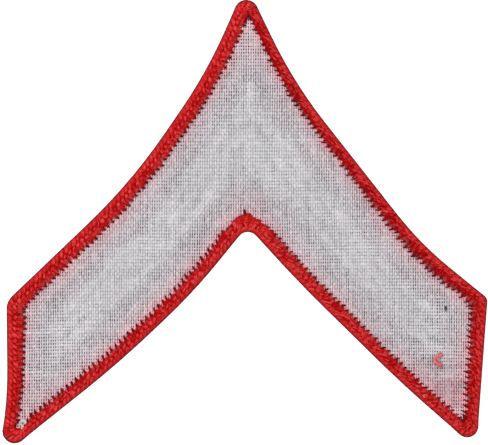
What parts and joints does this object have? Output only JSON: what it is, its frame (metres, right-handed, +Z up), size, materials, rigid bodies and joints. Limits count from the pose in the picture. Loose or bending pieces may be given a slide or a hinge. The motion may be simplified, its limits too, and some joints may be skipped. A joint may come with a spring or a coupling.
{
  "type": "rank chevron",
  "caption": "Embroidered rank chevron patch lying face down: pale woven backing over a dark ground cloth, a red overlocked border all round, and a raised stripe on the face.",
  "frame": {"origin": "under the middle of the patch's outline, on the surface that it lies on", "axes": "+Z up out of the backing, away from the hidden face; +Y towards the point of the chevron; +X to the right as seen from the back, the way the picture shows it"},
  "size_m": [0.0968, 0.0886, 0.0033],
  "materials": {
    "backing_weave": "off-white plain weave, dull, with slubs and small gaps between the threads",
    "ground_twill": "near-black twill, dull",
    "stripe_thread": "off-white embroidery thread with a satin sheen",
    "border_thread": "red overlock thread with a soft sheen"
  },
  "bodies": {
    "root": {"backing_cloth": "backing_weave", "ground_cloth": "ground_twill", "rank_stripe": "stripe_thread", "overlock_border": "border_thread"}
  },
  "joints": []
}
